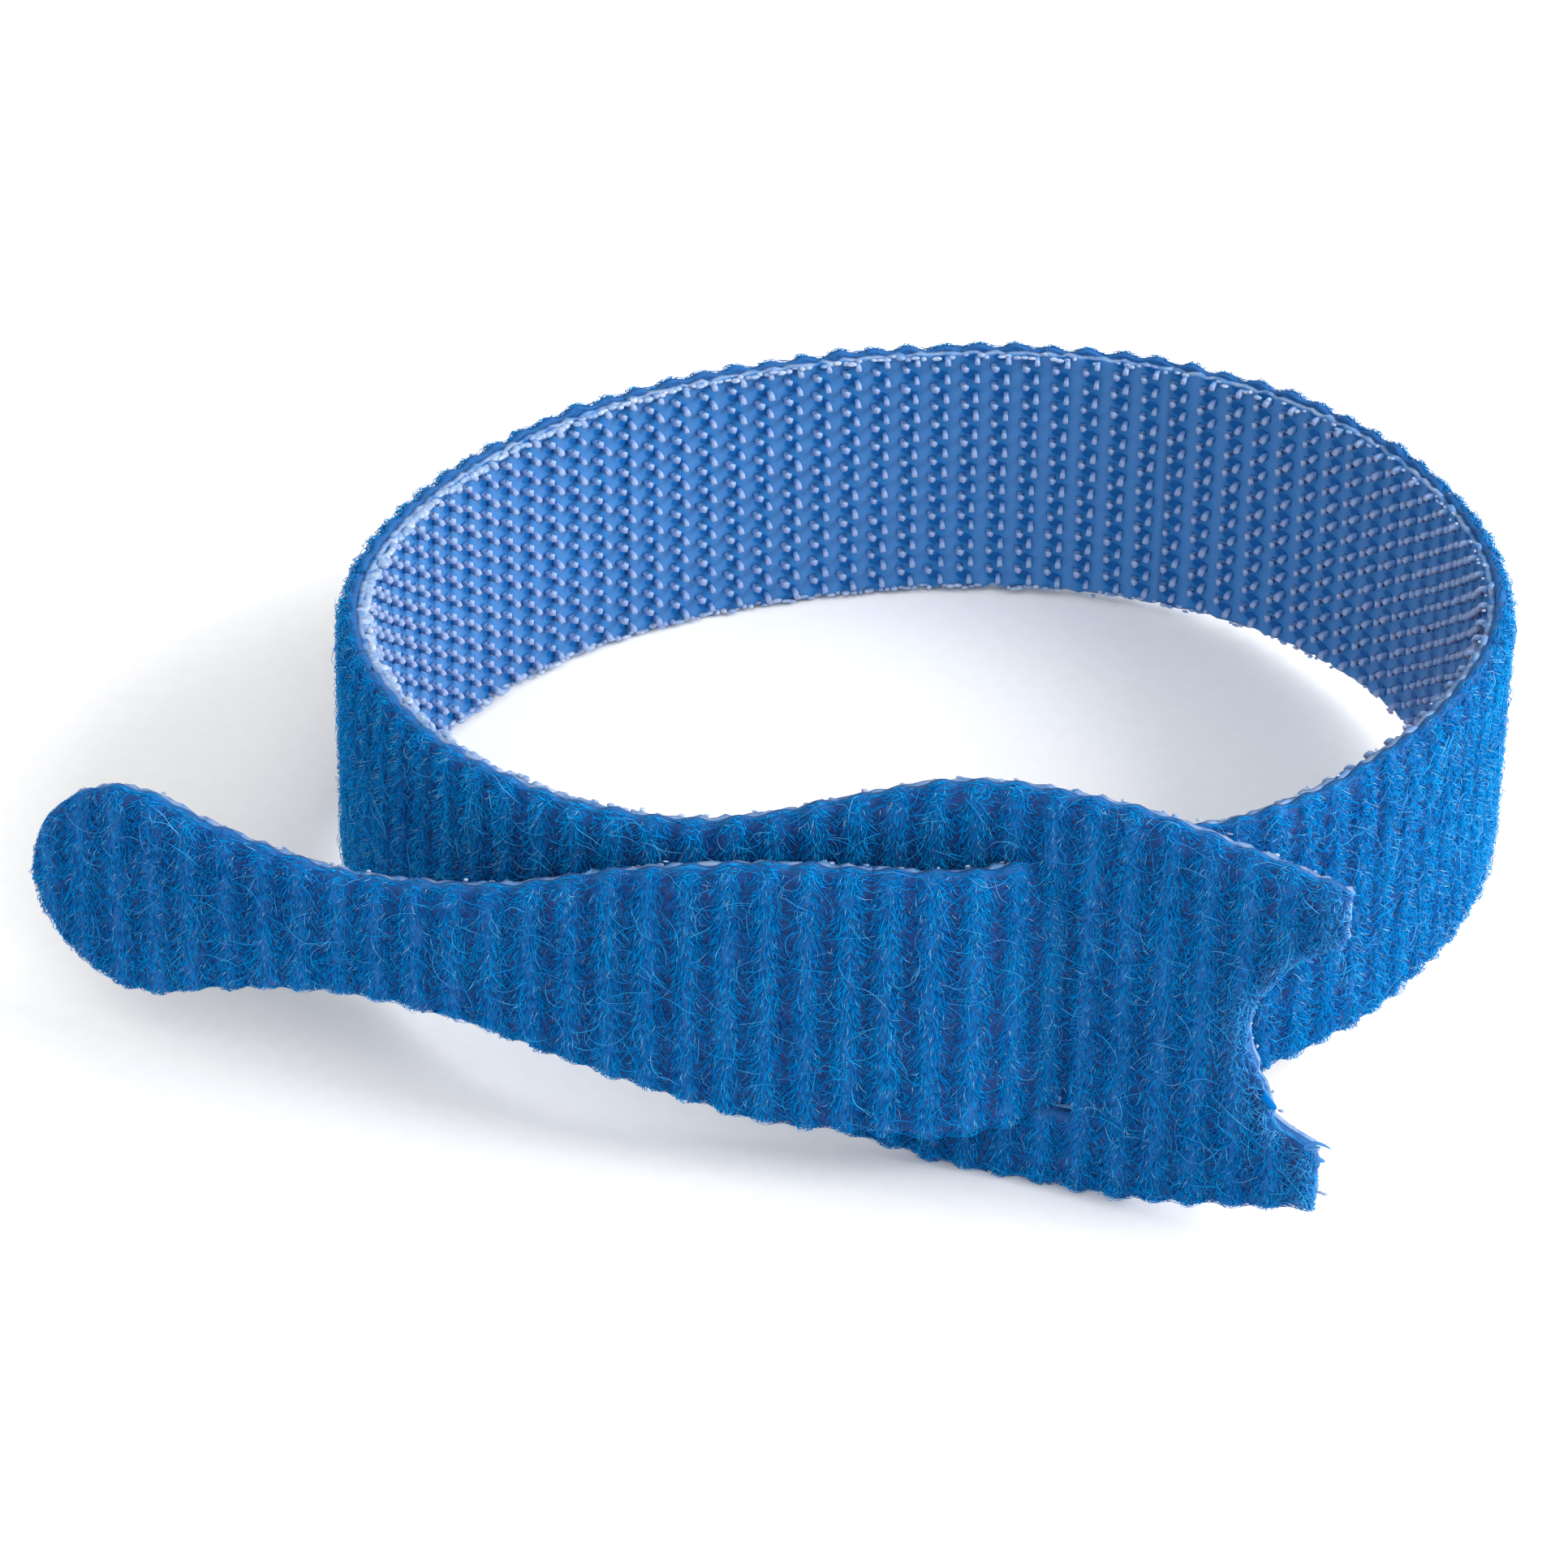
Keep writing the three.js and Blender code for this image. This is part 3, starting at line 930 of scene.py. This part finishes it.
def makeHooks(length):
    shape, faces = hookShape()
    pitch = hooks["pairPitch"]
    start = hooks["pairStart"]
    pairs = np.arange(math.ceil((length["from"] - start) / pitch), (length["to"] - start) / pitch)
    rows = np.arange(-10, 11)
    flat = []
    tones = []
    for side, facing, rowStart in zip((-1, 1), np.radians(hooks["facing"]), hooks["rowStarts"]):
        along = shape[:, 0] * math.cos(facing) - shape[:, 1] * math.sin(facing)
        across = shape[:, 0] * math.sin(facing) + shape[:, 1] * math.cos(facing)
        back = -1.4 * hooks["crookRadius"]  # so that the crook, not the stem, is on its mark
        pair, row = (part.ravel() for part in np.meshgrid(pairs, rows, indexing="ij"))
        u = start + pair * pitch + side * hooks["columnGap"] / 2
        v = (row + rowStart) * hooks["rowPitch"]
        kept = inBand(u, v, hooks["margin"])
        u = u[kept] + chance.normal(0, 0.02, kept.sum()) + back * math.cos(facing)
        v = v[kept] + chance.normal(0, 0.02, kept.sum()) + back * math.sin(facing)
        size = chance.normal(1, 0.06, len(u))[:, None]
        flat.append(np.stack([
            u[:, None] + along[None] * size,
            v[:, None] + across[None] * size,
            shape[None, :, 2] * size + 0.02,
        ], axis=2))
        reach = -shape[:, 2] / hooks["height"]
        tones.append(np.clip(reach[None] ** 1.4 * chance.normal(0.9, 0.15, len(u))[:, None], 0, 1))
    tone = np.concatenate(tones)
    return makeCopies(length["name"] + "_hooks", faces, np.concatenate(flat), {"tone": tone}, hookMaterial)


# Beads of nylon along the cut edges, where the die went through hooks
beads = {
    "spacing": 0.34,
    "size": (0.09, 0.2),
    "share": [  # of the places that have a bead, by u
        (0, 0.3), (20, 0.3), (35, 0.7), (45, 1), (75, 1), (95, 0.7), (110, 0.4), (130, 0.25), (201, 0.2),
    ],
    "scale": [  # how large they are, by u
        (0, 0.6), (30, 0.8), (42, 1.7), (62, 1.6), (80, 1.1), (100, 0.9), (130, 0.6), (201, 0.5),
    ],
}


def edgePlaces(length):
    u = np.arange(max(length["from"], 0.3), min(length["to"], tabCentre), beads["spacing"])
    edges = [np.stack([u, side * halfWidth(u)], axis=1) for side in (-1, 1)]
    if length["name"] == "head":
        v = np.arange(-7.3, 7.4, beads["spacing"])
        edges.append(np.stack([cutEnd(v) + 0.25, v], axis=1))
    if length["name"] == "pull_tab":
        around = np.linspace(-1.5, 1.5, round(3 * band["tabRadius"] / beads["spacing"]))
        edges.append(np.stack([
            tabCentre + band["tabRadius"] * np.cos(around),
            band["tabRadius"] * np.sin(around),
        ], axis=1))
    places = np.concatenate(edges)
    return places[places[:, 0] >= length["from"]]


def makeBeads(length):
    bead = bmesh.new()
    bmesh.ops.create_icosphere(bead, subdivisions=2, radius=1)
    bead.verts.index_update()
    shape = np.array([vert.co for vert in bead.verts])
    faces = np.array([[vert.index for vert in face.verts] for face in bead.faces])
    bead.free()
    places = edgePlaces(length)
    places = places[chance.random(len(places)) < smoothValue(beads["share"], places[:, 0])]
    count = len(places)
    size = chance.uniform(*beads["size"], (count, 3)) * (1.3, 0.6, 0.9)
    size *= smoothValue(beads["scale"], places[:, 0])[:, None]
    centre = np.column_stack([places, chance.uniform(-0.3, 0.0, count)])
    centre[:, 1] -= np.sign(centre[:, 1]) * (0.08 + size[:, 1])
    centre[:, :2] += chance.normal(0, 0.05, (count, 2))
    flat = centre[:, None] + shape[None] * size[:, None]
    tone = chance.uniform(0.35, 0.95, count)[:, None]
    return makeCopies(length["name"] + "_edge_beads", faces, flat, {"tone": tone}, cutMaterial)


def tapeBack(u, v):
    return layers["filmBack"]


# The film is flat, but for a lumpy lip along its cut edges
def tapeFace(u, v):
    lipWidth = 0.5
    lip = np.clip(1 - (halfWidth(u) - abs(v)) / lipWidth, 0, 1)
    return layers["filmLip"] * lip * (0.6 + 0.4 * np.sin(u * 4.4 + 1.9 * np.sin(u * 1.7)))


def raggedEdge(u, across):
    wander = 0.05 * np.sin(u * 5.3 + 2.1 * np.sign(across)) + 0.04 * np.sin(u * 11.9)
    return wander - 0.08


for length in lengths:
    name = length["name"]
    ground = makeSheet(
        name + "_ground", length, step=0.2, rows=30,
        inner=groundBottom, outer=groundTop, ragged=ribbedEdge, material=groundMaterial,
    )
    tape = makeSheet(
        name + "_hook_film", length, step=0.33, rows=20,
        inner=tapeFace, outer=tapeBack, ragged=raggedEdge, material=tapeMaterial,
    )
    pilePieces = list(makePile(length))
    if name == "head":
        pilePieces.append(makeFrays())
    hookRows = makeHooks(length)
    cutBeads = makeBeads(length)
    for piece in (ground, *pilePieces):
        attach(piece, length)
    for piece in (tape, hookRows, cutBeads):
        attach(piece, length)
    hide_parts(*[node + "_loop_pile" for node in length["nodes"]])
    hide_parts(*[node + "_hook_tape" for node in length["nodes"]])
    print(name, "made:", sum(len(piece.data.polygons) for piece in pilePieces), "faces of pile,",
          len(hookRows.data.polygons), "of hooks")


# Studio: a pale floor, a soft key from the right, a wide fill from the front. Sizes in metres.
studio = {
    "paper": ("#F2F2F2", "#F8F8F8"),
    "paperGrain": 1200,  # per metre
    "floorSize": 4.0,
    "sky": 0.75,
    "key": {"place": (0.50, -0.06, 0.30), "size": 0.4, "power": 5.0},
    "fill": {"place": (-0.10, -0.50, 0.50), "size": 0.6, "power": 2.3},
}


def whitePaper():
    material, tree, shader = newMaterial("white paper floor", Roughness=0.95)
    coords = addNode(tree, "TexCoord", {}, {})
    fibre = addNode(tree, "TexNoise", {}, {
        "Vector": coords.outputs["Object"],
        "Scale": studio["paperGrain"],
        "Detail": 2,
    })
    pale = addNode(tree, "Mix", {"data_type": "RGBA"}, {
        0: fibre.outputs[0],
        6: colour(studio["paper"][0]),
        7: colour(studio["paper"][1]),
    })
    tree.links.new(pale.outputs[2], shader.inputs["Base Color"])
    return material


def makeStudio():
    floor = bmesh.new()
    bmesh.ops.create_grid(floor, x_segments=2, y_segments=2, size=studio["floorSize"] / 2)
    mesh = bpy.data.meshes.new("floor")
    floor.to_mesh(mesh)
    floor.free()
    addPiece(mesh, "floor", whitePaper(), smooth=False)
    for name in ("key", "fill"):
        made = studio[name]
        light = bpy.data.lights.new(name, "AREA")
        light.energy = made["power"]
        light.size = made["size"]
        lamp = bpy.data.objects.new(name, light)
        lamp.location = made["place"]
        aim = Vector((0, 0, 0.01)) - lamp.location
        lamp.rotation_euler = aim.to_track_quat("-Z", "Y").to_euler()
        bpy.context.scene.collection.objects.link(lamp)
    world = bpy.data.worlds.new("studio")
    world.use_nodes = True
    world.node_tree.nodes["Background"].inputs["Color"].default_value = (1, 1, 1, 1)
    world.node_tree.nodes["Background"].inputs["Strength"].default_value = studio["sky"]
    bpy.context.scene.world = world
    bpy.context.scene.view_settings.view_transform = "Standard"


makeStudio()
print("studio lit")
